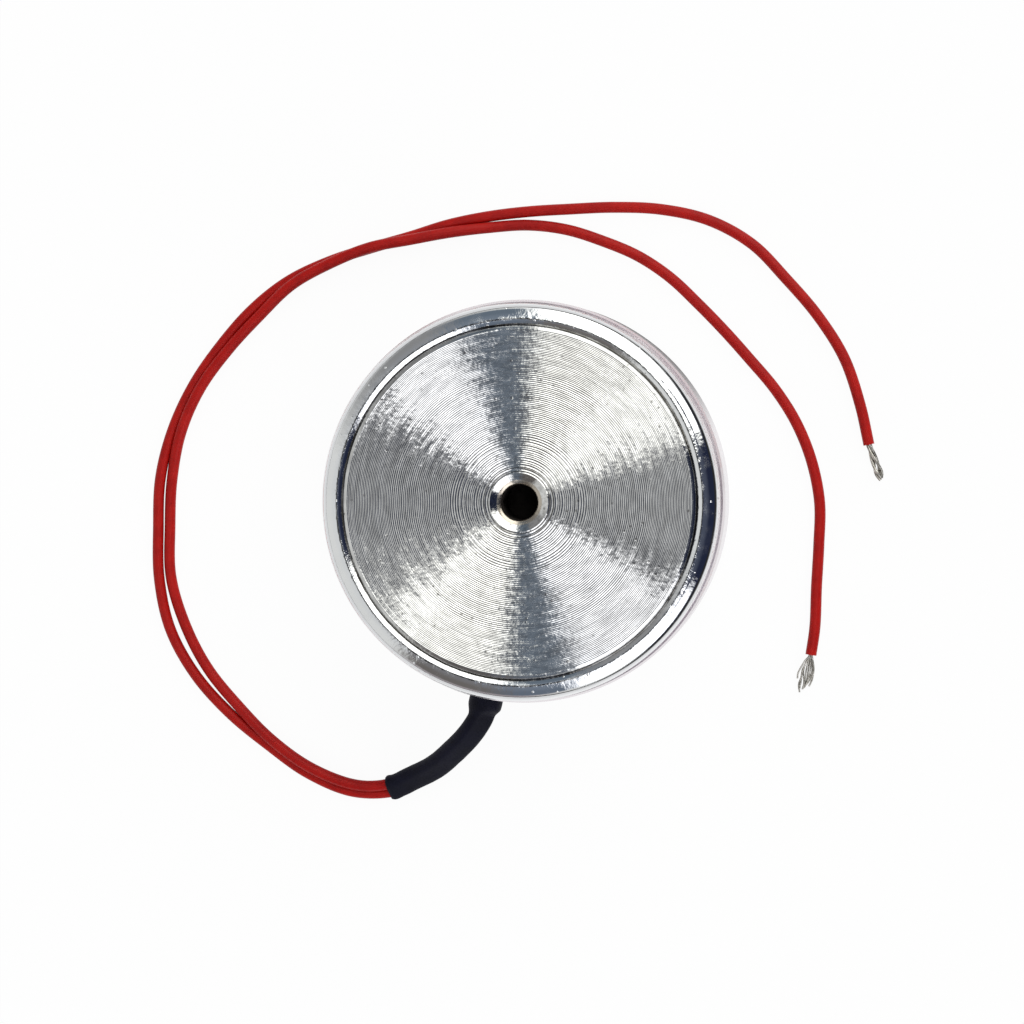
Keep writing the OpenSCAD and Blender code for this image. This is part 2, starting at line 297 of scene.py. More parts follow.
def smooth_route(points, step):
    """Points about a step apart on a smooth curve through the given ones."""
    ends = [2 * points[0] - points[1]] + list(points) + [2 * points[-1] - points[-2]]
    route = []
    for i in range(1, len(ends) - 2):
        p = ends[i - 1:i + 3]
        knots = [0.0]
        for a, b in zip(p, p[1:]):
            knots.append(knots[-1] + math.sqrt((b - a).length))
        count = max(2, round((p[2] - p[1]).length / step))
        for k in range(count):
            route.append(curve_point(p, knots, knots[1] + (knots[2] - knots[1]) * k / count))
    route.append(points[-1].copy())
    return route


def curve_point(p, knots, t):
    """Point of a centripetal curve through four points, between the second and the third."""
    def between(a, b, i, j):
        return a.lerp(b, (t - knots[i]) / (knots[j] - knots[i]))

    first = [between(p[i], p[i + 1], i, i + 1) for i in range(3)]
    second = [between(first[i], first[i + 1], i, i + 2) for i in range(2)]
    return between(second[0], second[1], 1, 2)


def axes_at(route, i):
    """Directions at a point of a route: along it, level across it and up from it."""
    along = (route[min(i + 1, len(route) - 1)] - route[max(i - 1, 0)]).normalized()
    across = Vector((0, 0, 1)).cross(along).normalized()
    return along, across, along.cross(across)


def loft(rings, loop=False):
    """Vertices and faces of the skin through rings of points; without a loop both ends are closed."""
    sides = len(rings[0])
    verts = [point for ring in rings for point in ring]
    faces = []
    for i in range(len(rings) if loop else len(rings) - 1):
        low = i * sides
        high = (i + 1) % len(rings) * sides
        for k in range(sides):
            n = (k + 1) % sides
            faces.append((low + k, low + n, high + n, high + k))
    if not loop:
        faces.append(tuple(reversed(range(sides))))
        faces.append(tuple((len(rings) - 1) * sides + k for k in range(sides)))
    return verts, faces


def joined(skins):
    """One list of vertices and faces for several skins."""
    verts, faces = [], []
    for v, f in skins:
        faces += [tuple(i + len(verts) for i in face) for face in f]
        verts += v
    return verts, faces


def add_piece(name, skin, material, nodes, sharp=35):
    """A shown piece: its mesh, its material, what it stands for and the body that it rides."""
    mesh = bpy.data.meshes.new(name)
    mesh.from_pydata(skin[0], [], skin[1])
    mesh.validate()
    mesh.polygons.foreach_set("use_smooth", [True] * len(mesh.polygons))
    mesh.set_sharp_from_angle(angle=math.radians(sharp))
    mesh.materials.append(material)
    piece = bpy.data.objects.new(name, mesh)
    bpy.context.collection.objects.link(piece)
    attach(piece, BODY)
    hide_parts(*nodes)
    return piece


def lathe(profile, segments, loop=False, radius=None):
    """Skin turned round the Z axis from (r, z) points; points on the axis become single vertices."""
    radius = radius or (lambda r, z, angle: r)
    verts, rows = [], []
    for r, z in profile:
        first = len(verts)
        if r == 0:
            verts.append((0, 0, z))
            rows.append([first] * segments)
            continue
        for k in range(segments):
            angle = 2 * math.pi * k / segments
            reach = radius(r, z, angle)
            verts.append((reach * math.cos(angle), reach * math.sin(angle), z))
        rows.append(list(range(first, first + segments)))
    faces = []
    pairs = list(zip(rows, rows[1:])) + ([(rows[-1], rows[0])] if loop else [])
    for low, high in pairs:
        for k in range(segments):
            n = (k + 1) % segments
            face = (low[k], low[n], high[n], high[k])
            faces.append(tuple(dict.fromkeys(face)))
    return verts, faces


def arc(centre_r, centre_z, radius, start, stop, steps):
    """Points of a round in a profile, between two angles in degrees."""
    angles = [math.radians(start + (stop - start) * k / steps) for k in range(steps + 1)]
    return [(centre_r + radius * math.cos(a), centre_z + radius * math.sin(a)) for a in angles]


def steps_between(low, high, count):
    """Values from low to high in equal steps, with both ends."""
    return [low + (high - low) * k / count for k in range(count + 1)]


# Steel body

def face_marks(rng):
    """Turning marks from the edge of the face to the countersink, all cut below the face."""
    points = []
    r = BASE_R - BASE_ROUND
    for inner_r, mean, uneven in MARK_ZONES:
        while r > inner_r + mean / 2:
            pitch = min(mean * rng.uniform(1 - uneven, 1 + uneven), r - inner_r)
            width_in = pitch * MARK_OUT / (MARK_IN + MARK_OUT)
            depth = MARK_IN * width_in * rng.uniform(1 - MARK_SCATTER, 1 + MARK_SCATTER)
            points += [(r, BODY_H), (r - width_in, BODY_H - depth)]
            r -= pitch
    return points


def hole_profile():
    """Countersink, run-in, tapped wall and drill point, from the face to the axis."""
    run_in_z = BODY_H - SINK_DEPTH
    wall_z = run_in_z - RUN_IN_DEPTH
    floor_z = BODY_H - HOLE_DEPTH
    turns = round((wall_z - floor_z) / THREAD_PITCH * THREAD_STEPS)
    points = [(SINK_R, BODY_H)]
    points += [(SINK_R + (RUN_IN_R - SINK_R) * t, BODY_H - SINK_DEPTH * t) for t in SINK_ROWS]
    for a in steps_between(RUN_IN_START, math.pi / 2, RUN_IN_ROWS):
        reach = (1 - math.sin(a)) / (1 - math.sin(RUN_IN_START))
        drop = RUN_IN_ROUND * (math.cos(RUN_IN_START) - math.cos(a))
        points.append((RUN_IN_END_R + (RUN_IN_R - RUN_IN_END_R) * reach, run_in_z - drop))
    points += [(HOLE_R, z) for z in steps_between(wall_z, floor_z, turns)]
    points.append((0, floor_z - HOLE_R / math.tan(DRILL_HALF_ANGLE)))
    return points


def thread_radius(r, z, angle):
    """Radius of the hole's wall with its right-hand thread cut in."""
    if r != HOLE_R:
        return r
    top = BODY_H - SINK_DEPTH - RUN_IN_DEPTH
    bottom = BODY_H - HOLE_DEPTH
    fade_in = max(0, (top - z) / THREAD_PITCH + THREAD_START)
    fade = min(1, fade_in, max(0, (z - bottom) / THREAD_PITCH))
    turn = (z / THREAD_PITCH - angle / (2 * math.pi)) % 1
    return r + fade * THREAD_DEPTH * (1 - abs(2 * turn - 1))


def make_core(material):
    """Base plate and centre pole, turned from one bar."""
    rng = random.Random(MARK_SEED)
    profile = [(0, 0), (CORE_R * 0.5, 0), (CORE_R - CORE_BEVEL, 0), (CORE_R, CORE_BEVEL)]
    profile += [(CORE_R, SEAT_Z), (BASE_R, SEAT_Z)]
    profile += arc(BASE_R - BASE_ROUND, BODY_H - BASE_ROUND, BASE_ROUND, 0, 88, 10)
    profile += face_marks(rng)
    profile += hole_profile()
    skin = lathe(profile, CORE_SEGMENTS, radius=thread_radius)
    return add_piece("turned_base", skin, material, ["core_base"], sharp=MARK_SHARP)


def shell_profile():
    """Closed outline of the shell: pole ring, stepped wall, rounded rim, bevel to the seam and bore."""
    round_r = NECK_R - RIM_ROUND
    slope = math.degrees(math.atan2(SEAM_DEPTH, round_r - SEAT_R))
    profile = [(BORE_R, 0), (BODY_R - FRONT_BEVEL, 0), (BODY_R, FRONT_BEVEL)]
    profile += [(BODY_R, z) for z in steps_between(2 * FRONT_BEVEL, STEP_Z - STEP_SLANT, 16)]
    profile += [(NECK_R + STEP_LEDGE, STEP_Z), (NECK_R, STEP_Z)]
    neck_top = CREST_Z - RIM_ROUND - NECK_MARGIN
    profile += [(NECK_R, z) for z in steps_between(STEP_Z + 2 * NECK_MARGIN, neck_top, 6)]
    profile += arc(round_r, CREST_Z - RIM_ROUND, RIM_ROUND, 0, 90, 28)
    profile += arc(round_r, CREST_Z - CREST_ROUND, CREST_ROUND, 90, 90 + slope, 8)[1:]
    profile += [(SEAT_R, CREST_Z - SEAM_DEPTH), (SEAT_R, SEAT_Z), (BORE_R, SEAT_Z)]
    return profile


def cut_cable_hole(piece):
    """Drills the radial hole that the sleeve comes out of."""
    depth = BODY_R - BORE_R
    mid = on_exit(BORE_R + depth / 2)
    axis = (on_exit(1) - on_exit(0)).normalized()
    across = Vector((0, 0, 1)).cross(axis)
    up = Vector((0, 0, 1))
    sides = 64
    angles = [2 * math.pi * k / sides for k in range(sides)]
    rings = []
    for end in (-depth, depth):
        centre = mid + end * axis
        rings.append([centre + EXIT_R * (math.cos(a) * across + math.sin(a) * up) for a in angles])
    mesh = bpy.data.meshes.new("drill")
    verts, faces = loft(rings)
    mesh.from_pydata(verts, [], faces)
    drill = bpy.data.objects.new("drill", mesh)
    bpy.context.collection.objects.link(drill)
    cut = piece.modifiers.new("cable_hole", "BOOLEAN")
    cut.operation = "DIFFERENCE"
    cut.object = drill
    cut.solver = "EXACT"
    depsgraph = bpy.context.evaluated_depsgraph_get()
    drilled = bpy.data.meshes.new_from_object(piece.evaluated_get(depsgraph))
    piece.modifiers.clear()
    piece.data = drilled
    bpy.data.objects.remove(drill)
    piece.data.set_sharp_from_angle(angle=math.radians(SHELL_SHARP))


def make_shell(material):
    """Steel tube that is the outer pole, with its cable hole."""
    skin = lathe(shell_profile(), SHELL_SEGMENTS, loop=True)
    piece = add_piece("plated_shell", skin, material, ["shell"], sharp=SHELL_SHARP)
    cut_cable_hole(piece)
    return piece


def make_potting(material):
    """Ring of resin whose free face sinks a little between the poles."""
    width = BORE_R - CORE_R
    shares = steps_between(0, 1, 24)
    face = [(CORE_R + width * s, POTTING_LOW_Z + POTTING_SINK * (1 - (2 * s - 1) ** 6)) for s in shares]
    back = [(BORE_R, POTTING_HIGH_Z), (CORE_R, POTTING_HIGH_Z)]
    skin = lathe(face + back, POTTING_SEGMENTS, loop=True)
    return add_piece("resin_ring", skin, material, ["potting"])


# Sleeve, leads and strands

def beside_sleeve(i, way):
    """Place of one lead in the sleeve, beside a point of the sleeve's route."""
    across, upward = axes_at(SLEEVE_PATH, i)[1:]
    aside = math.cos(PAIR_LEAN) * across + math.sin(PAIR_LEAN) * upward
    return SLEEVE_PATH[i] + way * HALF_PITCH * aside


def lead_route(way, points):
    """Whole way of a lead: from its solder joint through the sleeve and on along the table."""
    start = beside_sleeve(0, way) - LEAD_INSIDE * axes_at(SLEEVE_PATH, 0)[0]
    inside = [beside_sleeve(i, way) for i in range(len(SLEEVE_PATH))]
    return [start] + inside + [Vector(p) for p in points]


def tube(route, radius, sides):
    """Round skin along a route."""
    angles = [2 * math.pi * k / sides for k in range(sides)]
    rings = []
    for i, centre in enumerate(route):
        across, upward = axes_at(route, i)[1:]
        rings.append([centre + radius * (math.cos(a) * across + math.sin(a) * upward) for a in angles])
    return loft(rings)


def make_lead(name, way, points, material, node):
    """One lead's insulation, cut square at its end."""
    route = smooth_route(lead_route(way, points), LEAD_STEP)
    for point in route:
        point.z = max(point.z, LEAD_R)
    piece = add_piece(name, tube(route, LEAD_R, LEAD_SIDES), material, [node])
    return piece, route


def sleeve_ring(route, i, shrunk, wall, swell):
    """Section of the sleeve: round where it is unshrunk, a flat-sided oval where it holds the pair."""
    across, upward = axes_at(route, i)[1:]
    ring = []
    for k in range(SLEEVE_SIDES):
        a = 2 * math.pi * k / SLEEVE_SIDES
        t = shrunk(a)
        r = SLEEVE_ROOT_R + (SHRUNK_R - SLEEVE_ROOT_R) * t - wall + swell
        half = max(-1, min(1, math.cos(a - PAIR_LEAN) / OVAL_SIDE))
        waist = 1 - OVAL_WAIST * t * (1 - abs(half))
        u = r * waist * math.cos(a) + half * t * HALF_PITCH * math.cos(PAIR_LEAN)
        v = r * waist * math.sin(a) + half * t * HALF_PITCH * math.sin(PAIR_LEAN)
        point = route[i] + u * across + v * upward
        if wall == 0:
            lump = noise.noise(point * LUMP_SCALE) * LUMP_HEIGHT
            point += lump * (u * across + v * upward).normalized()
        ring.append(point)
    return ring


def shrink_at(reach):
    """Share of shrinking at a distance from the body's axis, for each angle round the sleeve."""
    def share(angle):
        side = (1 - math.cos(angle)) / 2
        length = ROOT_FADE[0] + (ROOT_FADE[1] - ROOT_FADE[0]) * side
        t = max(0, min(1, (reach - BODY_R - ROOT_LENGTH + FADE_AHEAD) / length))
        return t * t * (3 - 2 * t)
    return share


def make_sleeve(material):
    """Shrink sleeve over both leads: round at the body, then shrunk on to the pair, with an open mouth."""
    route = smooth_route(SLEEVE_PATH + [SLEEVE_ONWARD], SLEEVE_STEP)
    mouth = min(range(len(route)), key=lambda i: (route[i] - SLEEVE_PATH[-1]).length)
    outer, inner = [], []
    for i in range(mouth + 1):
        reach = (route[i] - route[0]).length + BORE_R - SLEEVE_INSIDE
        swell = LIP_SWELL * max(0, 1 - abs(i - mouth + 2) / 3) - (LIP_ROUND if i == mouth else 0)
        outer.append(sleeve_ring(route, i, shrink_at(reach), 0, swell))
        inner.append(sleeve_ring(route, i, shrink_at(reach), SLEEVE_WALL, 0))
    skin = loft(outer + inner[::-1], loop=True)
    return add_piece("shrink_sleeve", skin, material, ["lead_sleeve"], sharp=SOFT_SHARP)


def strand_axes(points):
    """End of a lead, the direction of its last stretch and the direction to the right of it."""
    end = Vector(points[-1])
    heading = (end - Vector(points[-2])).normalized()
    return end, heading, Vector((0, 0, 1)).cross(heading).normalized()


def on_table(point, radius):
    """The same point, lifted where a strand there would sink into the table."""
    return Vector((point.x, point.y, max(point.z, radius)))


def strand_rope(points, rng):
    """Twisted strands that bow apart and close again at the tip."""
    end, heading, across = strand_axes(points)
    up = Vector((0, 0, 1))
    skins = []
    for k in range(ROPE_STRANDS):
        phase = 2 * math.pi * k / ROPE_STRANDS + rng.uniform(-0.2, 0.2)
        reach = ROPE_LENGTH * rng.uniform(0.93, 1.0)
        route = []
        for s in steps_between(0, 1, ROPE_STEPS):
            spread = rope_spread(s)
            a = phase + ROPE_TURN * s
            along = STRAND_START + (reach - STRAND_START) * s
            side = spread * math.cos(a) + ROPE_LEAN * max(0, along)
            height = spread * math.sin(a) - ROPE_DROP * s
            route.append(on_table(end + along * heading + side * across + height * up, ROPE_STRAND_R))
        skins.append(tube(route, ROPE_STRAND_R, ROPE_SIDES))
    return joined(skins)


def rope_spread(s):
    """Radius of the lay at a share of the rope's length."""
    root, wide, tip = ROPE_R
    if s < ROPE_WIDE:
        return root + (wide - root) * s / ROPE_WIDE
    return wide + (tip - wide) * ((s - ROPE_WIDE) / (1 - ROPE_WIDE)) ** 2


def strand_fan(points, rng):
    """Loosened strands that bow apart like a leaf and come together again at the tip."""
    end, heading, across = strand_axes(points)
    up = Vector((0, 0, 1))
    skins = []
    for k, (reach, offsets) in enumerate(FAN_STRANDS):
        lift = FAN_LIFT * (-1) ** k * rng.uniform(0.5, 1)
        stations = [end + STRAND_START * heading + FAN_ROOT * offsets[0] * across]
        for i, offset in enumerate(offsets):
            s = i / (len(offsets) - 1)
            height = lift * math.cos(math.pi * s / 2) - FAN_DROP * s
            along = FAN_START + (reach - FAN_START) * s
            stations.append(on_table(end + along * heading + offset * across + height * up, STRAND_R))
        radius = STRAND_R * rng.uniform(0.85, 1.0)
        skins.append(tube(smooth_route(stations, FAN_STEP), radius, FAN_SIDES))
    return joined(skins)


def make_strands(name, points, bundle, seed, material, node):
    """Bare strands that go on from the cut end of a lead."""
    skin = bundle(points, random.Random(seed))
    return add_piece(name, skin, material, [node], sharp=SOFT_SHARP)


# Materials

class Nodes:
    """Adds nodes to one tree; inputs are values or the sockets that feed them."""

    def __init__(self, tree):
        self.tree = tree
        tree.nodes.clear()

    def add(self, kind, inputs=None, **settings):
        made = self.tree.nodes.new(kind)
        for key, value in settings.items():
            setattr(made, key, value)
        for key, value in (inputs or {}).items():
            if isinstance(value, bpy.types.NodeSocket):
                self.tree.links.new(value, made.inputs[key])
            else:
                made.inputs[key].default_value = value
        return made

    def math(self, operation, a, b=0.0, c=0.0):
        return self.add("ShaderNodeMath", {0: a, 1: b, 2: c}, operation=operation).outputs[0]

    def vector(self, operation, inputs):
        """Vector that a vector operation gives."""
        return self.add("ShaderNodeVectorMath", inputs, operation=operation).outputs[0]

    def measure(self, operation, inputs):
        """Number that a vector operation gives."""
        return self.add("ShaderNodeVectorMath", inputs, operation=operation).outputs["Value"]

    def span(self, value, low, high, to_low=0.0, to_high=1.0):
        """Smooth step of a value from one range to another."""
        made = self.add("ShaderNodeMapRange", {0: value, 1: low, 2: high, 3: to_low, 4: to_high},
                        interpolation_type="SMOOTHSTEP")
        return made.outputs[0]

    def noise(self, vector, scale, detail=3.0, roughness=0.55):
        inputs = {"Vector": vector, "Scale": scale, "Detail": detail, "Roughness": roughness}
        return self.add("ShaderNodeTexNoise", inputs).outputs["Fac"]

    def dots(self, vector, scale, size):
        """Round spots of 1 at scattered places, 0 elsewhere."""
        cells = self.add("ShaderNodeTexVoronoi", {"Vector": vector, "Scale": scale})
        return self.span(cells.outputs["Distance"], 0.4 * size, size, 1.0, 0.0)

    def near(self, value, centre, full, gone):
        """1 within a distance of a centre value, fading to 0 at a further one."""
        return self.span(self.math("ABSOLUTE", self.math("SUBTRACT", value, centre)), full, gone, 1.0, 0.0)

    def blend(self, share, first, second):
        """Colour between two, each a colour or a socket."""
        ends = [end if isinstance(end, bpy.types.NodeSocket) else (*end, 1) for end in (first, second)]
        return self.add("ShaderNodeMix", {0: share, 6: ends[0], 7: ends[1]}, data_type="RGBA").outputs[2]

    def ramp(self, turn, stops):
        """Colour at a share of a full turn, from (degrees, colour) stops."""
        made = self.add("ShaderNodeValToRGB", {0: turn})
        marks = made.color_ramp.elements
        while len(marks) < len(stops):
            marks.new(0.5)
        for mark, (degrees, colour) in zip(marks, stops):
            mark.position = degrees / 360
            mark.color = (*colour, 1)
        return made.outputs[0]

    def bump(self, height, distance, normal=None):
        inputs = {"Height": height, "Distance": distance}
        if normal is not None:
            inputs["Normal"] = normal
        return self.add("ShaderNodeBump", inputs).outputs["Normal"]

    def place(self):
        """Place on the piece, its distance from the Z axis, its height and the direction to it."""
        spot = self.add("ShaderNodeTexCoord").outputs["Object"]
        parts = self.add("ShaderNodeSeparateXYZ", {0: spot}).outputs
        flat = self.add("ShaderNodeCombineXYZ", {0: parts[0], 1: parts[1]}).outputs[0]
        r = self.measure("LENGTH", {0: flat})
        way = self.vector("NORMALIZE", {0: flat})
        return spot, r, parts[2], way

    def around(self, r, z, way, fine, long):
        """Texture place that is fine across the turning direction and long along it."""
        sides = self.add("ShaderNodeSeparateXYZ", {0: way}).outputs
        across = self.math("ADD", self.math("MULTIPLY", r, fine), self.math("MULTIPLY", z, fine * 0.83))
        return self.add("ShaderNodeCombineXYZ", {
            0: across, 1: self.math("MULTIPLY", sides[0], long), 2: self.math("MULTIPLY", sides[1], long),
        }).outputs[0]

    def turned_aside(self, way, amount):
        """Surface direction that leans along the turning direction by an amount."""
        facing = self.add("ShaderNodeNewGeometry").outputs["Normal"]
        aside = self.vector("CROSS_PRODUCT", {0: (0, 0, 1), 1: way})
        lean = self.vector("SCALE", {0: aside, "Scale": amount})
        return self.vector("NORMALIZE", {0: self.vector("ADD", {0: facing, 1: lean})})

    def surface(self, inputs):
        shader = self.add("ShaderNodeBsdfPrincipled", inputs)
        self.add("ShaderNodeOutputMaterial", {"Surface": shader.outputs[0]})


def new_material(name):
    material = bpy.data.materials.new(name)
    material.use_nodes = True
    return material, Nodes(material.node_tree)


def linear(red, green, blue):
    """Linear colour from the 0 to 255 values seen on a screen."""
    seen = [v / 255 for v in (red, green, blue)]
    return tuple(((v + 0.055) / 1.055) ** 2.4 if v > 0.04 else v / 12.92 for v in seen)


def turned_steel():
    """Plated steel with turning streaks and specks; painted shade with some dirt in the seam, painted shade
    on two deep rings, darkened pits, and painted shade deep in the bore, partly for dark oily metal.
    """
    material, n = new_material("turned_steel")
    spot, r, z, way = n.place()
    streaks = n.noise(n.around(r, z, way, 4300, 16), 1.0, 3.0, 0.65)
    rings = n.noise(n.around(r, z, way, 1700, 7), 1.0, 3.0, 0.6)
    drift = n.noise(n.around(r, z, way, 1900, 5), 1.0, 2.0, 0.6)
    grain = n.noise(spot, 1700, 1.5, 0.5)
    patches = n.noise(spot, 260, 4.0, 0.6)
    pits = n.math("MULTIPLY", n.dots(spot, 750, 0.17), n.span(patches, 0.4, 0.6))
    # Painted shade with some dirt: the colour darkens along the seam, in patches, and in the pits
    patchy_strength = n.span(patches, 0.35, 0.65, 0.4, 0.9)
    painted_shade_and_grime = n.math("MULTIPLY", n.near(r, SEAT_R, 0.00003, 0.00018), patchy_strength)
    # Painted shade: two thin dark rings round the countersink stand for deep narrow grooves, which are not
    # cut
    for ring in DARK_RINGS:
        painted_shade_and_grime = n.math("MAXIMUM", painted_shade_and_grime, n.math("MULTIPLY", n.near(r, ring, 0.00004, 0.00012), patchy_strength))
    painted_shade_and_grime = n.math("MAXIMUM", painted_shade_and_grime, n.math("MULTIPLY", pits, 0.6))
    clean = n.blend(n.span(rings, 0.3, 0.7), (0.50, 0.50, 0.497), (0.75, 0.75, 0.745))
    rear = n.math("GREATER_THAN", z, BODY_H / 4)
    run_in = n.math("MULTIPLY", rear, n.span(r, RUN_IN_R - 0.00005, RUN_IN_R + 0.00002, 1.0, 0.0))
    round_z = BODY_H - SINK_DEPTH - RUN_IN_ROUND
    # Painted shade, partly for dark oily metal: deep in the bore the colour goes almost black
    deep = n.math("MULTIPLY", rear, n.span(z, round_z, round_z + 0.00012, 1.0, 0.0))
    bore = n.math("MULTIPLY", deep, n.span(r, RUN_IN_R, RUN_IN_R + 0.0001, 1.0, 0.0))
    # The painted shade and dirt darken the colour to a dark brown here
    colour = n.blend(painted_shade_and_grime, clean, (0.06, 0.053, 0.045))
    colour = n.blend(run_in, colour, (0.51, 0.46, 0.395))
    rough = n.math("MULTIPLY_ADD", run_in, 0.12, n.span(streaks, 0.25, 0.75, 0.07, 0.16))
    normal = n.turned_aside(way, n.span(drift, 0.2, 0.8, -0.034, 0.034))
    normal = n.bump(streaks, 0.000007, normal)
    normal = n.bump(grain, 0.00002, normal)
    normal = n.bump(pits, 0.00001, normal)
    n.surface({
        "Base Color": n.blend(bore, colour, (0.05, 0.044, 0.041)),
        "Metallic": 1.0,
        "Roughness": n.math("MULTIPLY_ADD", bore, 0.45, rough),
        "Normal": normal,
    })
    return material


def plated_steel():
    """Bright plating: polished but nicked on the rim, satin on the wall, with faint polishing lines."""
    material, n = new_material("plated_steel")
    spot, r, z, way = n.place()
    lines = n.noise(n.around(r, z, way, 6500, 5), 1.0, 2.0, 0.5)
    dents = n.noise(n.around(r, z, way, 1500, 24), 1.0, 3.0, 0.6)
    grain = n.noise(spot, 3600, 2.0, 0.5)
    patches = n.noise(spot, 190, 4.0, 0.6)
    nicks = n.math("MULTIPLY", n.dots(spot, 800, 0.13), n.span(patches, 0.4, 0.55))
    smears = n.span(n.noise(n.around(r, z, way, 900, 9), 1.0, 3.0, 0.6), 0.45, 0.7, 0.05, 0.2)
    wall = n.span(z, CREST_Z - RIM_ROUND - 0.0004, CREST_Z - RIM_ROUND + 0.0003, 1.0, 0.0)
    wear = n.math("MULTIPLY_ADD", wall, -0.92, 1.0)
    # Painted shade with some brownish dirt: the slope darkens next to the seam, in patches
    seam = n.math("MULTIPLY", n.near(r, SEAT_R, 0.00004, 0.0003), n.span(patches, 0.35, 0.65, 0.3, 0.85))
    clean = n.blend(patches, (0.76, 0.77, 0.79), (0.87, 0.88, 0.89))
    clean = n.blend(wall, clean, (0.81, 0.775, 0.80))
    # Painted shade: a dark mauve line along the step in the wall, where the step's shadow falls
    ledge_shade = n.math("MULTIPLY", n.near(z, STEP_Z, 0.00003, 0.00012), n.span(patches, 0.3, 0.6, 0.5, 0.9))
    clean = n.blend(ledge_shade, clean, (0.42, 0.36, 0.40))
    normal = n.bump(lines, 0.000004)
    normal = n.bump(n.math("MULTIPLY", dents, wear), 0.000024, normal)
    normal = n.bump(grain, 0.0000014, normal)
    normal = n.bump(n.math("MULTIPLY", nicks, wear), 0.00004, normal)
    rough = n.math("MULTIPLY_ADD", wall, 0.24, n.math("MULTIPLY", smears, wear))
    n.surface({
        "Base Color": n.blend(seam, clean, (0.12, 0.10, 0.075)),
        "Metallic": 1.0,
        "Roughness": rough,
        "Normal": normal,
    })
    return material


def plastic(name, dark, light, roughness, grain, lump, specular=0.5):
    """Plastic whose colour, gloss and surface vary a little: a fine grain over wider lumps."""
    material, n = new_material(name)
    spot = n.add("ShaderNodeTexCoord").outputs["Object"]
    fine = n.noise(spot, 4200, 3.0, 0.6)
    wide = n.noise(spot, 420, 4.0, 0.6)
    normal = n.bump(wide, lump)
    n.surface({
        "Base Color": n.blend(n.span(wide, 0.3, 0.7), dark, light),
        "Roughness": n.span(fine, 0.25, 0.75, roughness - 0.07, roughness + 0.07),
        "Specular IOR Level": specular,
        "Normal": n.bump(fine, grain, normal),
    })
    return material


def tinned_wire():
    """Dull tinned copper with darker stains."""
    material, n = new_material("tinned_wire")
    spot = n.add("ShaderNodeTexCoord").outputs["Object"]
    stains = n.noise(spot, 1800, 3.0, 0.6)
    n.surface({
        "Base Color": n.blend(n.span(stains, 0.35, 0.7), (0.30, 0.285, 0.25), (0.60, 0.58, 0.54)),
        "Metallic": 1.0,
        "Roughness": n.span(stains, 0.3, 0.7, 0.22, 0.42),
        "Normal": n.bump(stains, 0.000004),
    })
    return material


def copper_winding():
    """Enamelled wire: rows of turns along the axis, slightly uneven."""
    material, n = new_material("copper_winding")
    spot, r, z, way = n.place()
    wobble = n.noise(spot, 300, 2.0, 0.5)
    turns = n.math("SINE", n.math("ADD", n.math("MULTIPLY", z, 18000.0), n.math("MULTIPLY", wobble, 2.0)))
    n.surface({
        "Base Color": n.blend(wobble, (0.45, 0.17, 0.06), (0.66, 0.30, 0.13)),
        "Metallic": 0.85,
        "Roughness": n.span(wobble, 0.3, 0.7, 0.22, 0.36),
        "Normal": n.bump(turns, 0.00009),
    })
    return material


# Studio

def studio_world():
    """Two large softboxes, a pale wall to the left and dark gaps between; white where the camera looks."""
    world = bpy.data.worlds.new("studio")
    bpy.context.scene.world = world
    world.use_nodes = True
    n = Nodes(world.node_tree)
    direction = n.add("ShaderNodeTexCoord").outputs["Generated"]
    z = n.add("ShaderNodeSeparateXYZ", {0: direction}).outputs[2]
    aside = n.vector("SUBTRACT", {0: direction, 1: STUDIO_MIDDLE})
    x, y = n.add("ShaderNodeSeparateXYZ", {0: aside}).outputs[:2]
    turn = n.math("FRACT", n.math("MULTIPLY_ADD", n.math("ARCTAN2", y, x), 1 / (2 * math.pi), 1.0))
    facing = n.measure("DOT_PRODUCT", {0: direction, 1: STUDIO_MIDDLE})
    gap = n.math("MULTIPLY", n.span(y, *GAP_FROM_Y), n.span(y, *GAP_TO_Y, 1.0, 0.0))
    gap = n.math("MULTIPLY", gap, n.span(x, 0.0, 0.1))
    gap = n.math("MULTIPLY", gap, n.near(facing, GAP_COS, *GAP_DEEP))
    high = n.blend(gap, n.ramp(turn, HIGH_WALLS), NAVY)
    walls = n.blend(n.span(z, *LOW_Z), n.ramp(turn, LOW_WALLS), high)
    walls = n.blend(n.span(z, *CEILING_Z, 0.0, CEILING_SHARE), walls, CEILING)
    above = n.span(z, *HORIZON_Z)
    spot = n.span(facing, *SPOT_COS, 1.0, SPOT_SHARE)
    level = n.math("MULTIPLY", above, spot)
    room = n.add("ShaderNodeBackground", {
        "Color": walls, "Strength": n.math("MULTIPLY", level, KEY_LEVEL)})
    page = n.add("ShaderNodeBackground", {"Color": (1, 1, 1, 1), "Strength": 1.0})
    seen = n.add("ShaderNodeLightPath").outputs["Is Camera Ray"]
    both = n.add("ShaderNodeMixShader", {0: seen, 1: room.outputs[0], 2: page.outputs[0]})
    n.add("ShaderNodeOutputWorld", {"Surface": both.outputs[0]})


